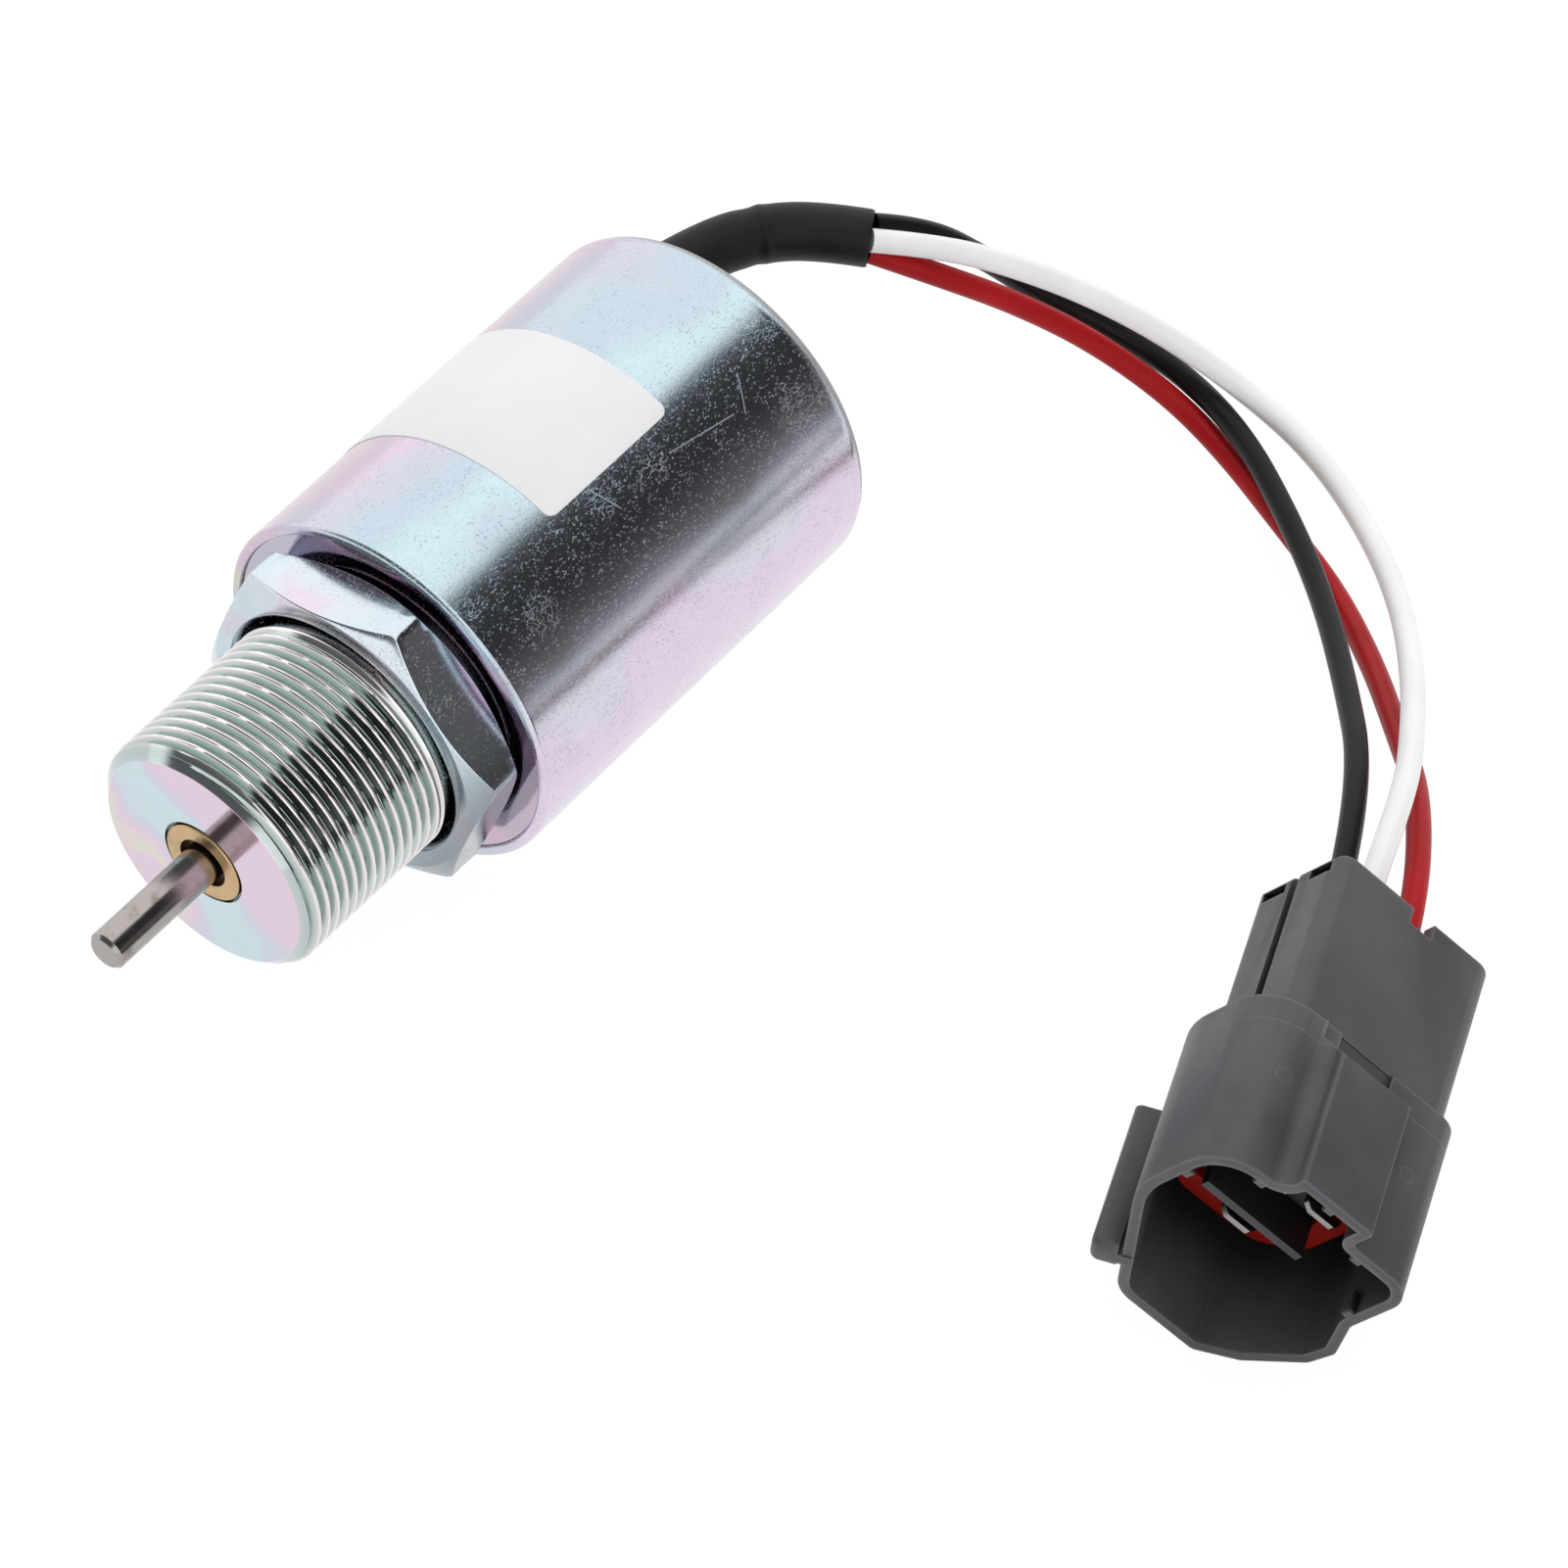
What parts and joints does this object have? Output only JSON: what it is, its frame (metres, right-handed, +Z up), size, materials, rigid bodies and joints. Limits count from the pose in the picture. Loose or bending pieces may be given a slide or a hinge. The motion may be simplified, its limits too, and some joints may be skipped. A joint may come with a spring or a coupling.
{
  "type": "fuel shutoff solenoid",
  "caption": "Round fuel shutoff solenoid with a threaded nose, lock nut, sprung push rod and a wired plug on a short lead.",
  "frame": {"origin": "on the solenoid's axis, in the plane of the lock nut's front face", "axes": "+X along the axis from the nose to the rear of the can, +Z up from the surface that the part lies on"},
  "size_m": [0.154, 0.1542, 0.0449],
  "materials": {
    "zinc_plate": "bright zinc plating with a faint rainbow tint",
    "plain_steel": "drawn and ground",
    "soft_iron": "turned, nickel plated",
    "bush_metal": "turned bronze",
    "tube_metal": "drawn brass",
    "winding_wire": "enamelled copper, seen as one block",
    "winding_tape": "polyester tape",
    "bobbin_plastic": "glass-filled nylon",
    "cover_plastic": "moulded, slightly rough",
    "seal_rubber": "nitrile",
    "label_film": "bare white film",
    "sleeve_plastic": "satin heat-shrink sleeve",
    "white_insulation": "PVC",
    "red_insulation": "PVC",
    "black_insulation": "PVC",
    "housing_plastic": "satin moulded nylon",
    "lock_plastic": "moulded",
    "retainer_plastic": "moulded",
    "tin_plate": "tin plating"
  },
  "bodies": {
    "solenoid": {"can_shell": "zinc_plate", "threaded_nose": "zinc_plate", "guide_bushing": "bush_metal", "rod_seal": "seal_rubber", "pole_piece": "soft_iron", "pole_cushion": "seal_rubber", "rest_washer": "bush_metal", "guide_tube": "tube_metal", "bobbin": "bobbin_plastic", "pull_winding": "winding_wire", "hold_winding": "winding_wire", "winding_wrap": "winding_tape", "flux_plate": "soft_iron", "rear_cover": "cover_plastic", "wire_grommet": "seal_rubber", "label": "label_film", "shrink_sleeve": "sleeve_plastic", "wire_white": "white_insulation", "wire_red": "red_insulation", "wire_black": "black_insulation", "connector_housing": "housing_plastic", "terminal_lock": "lock_plastic", "terminal_upper_left": "tin_plate", "terminal_upper_right": "tin_plate", "terminal_lower": "tin_plate", "wire_seals": "seal_rubber", "wire_retainer": "retainer_plastic"},
    "plunger": {"push_rod": "plain_steel", "plunger_core": "soft_iron", "return_spring": "plain_steel"},
    "locknut": {"lock_nut": "zinc_plate"}
  },
  "joints": [
    {"name": "plunger_slide", "type": "slide", "parent": "solenoid", "child": "plunger", "axis": [1, 0, 0], "range_m": [0, 0.0105], "stiffness_N_per_m": 900, "springref_m": -0.006, "deforming": ["return_spring"]},
    {"name": "locknut_travel", "type": "slide", "parent": "solenoid", "child": "locknut", "axis": [-1, 0, 0], "range_m": [0, 0.0175]}
  ]
}
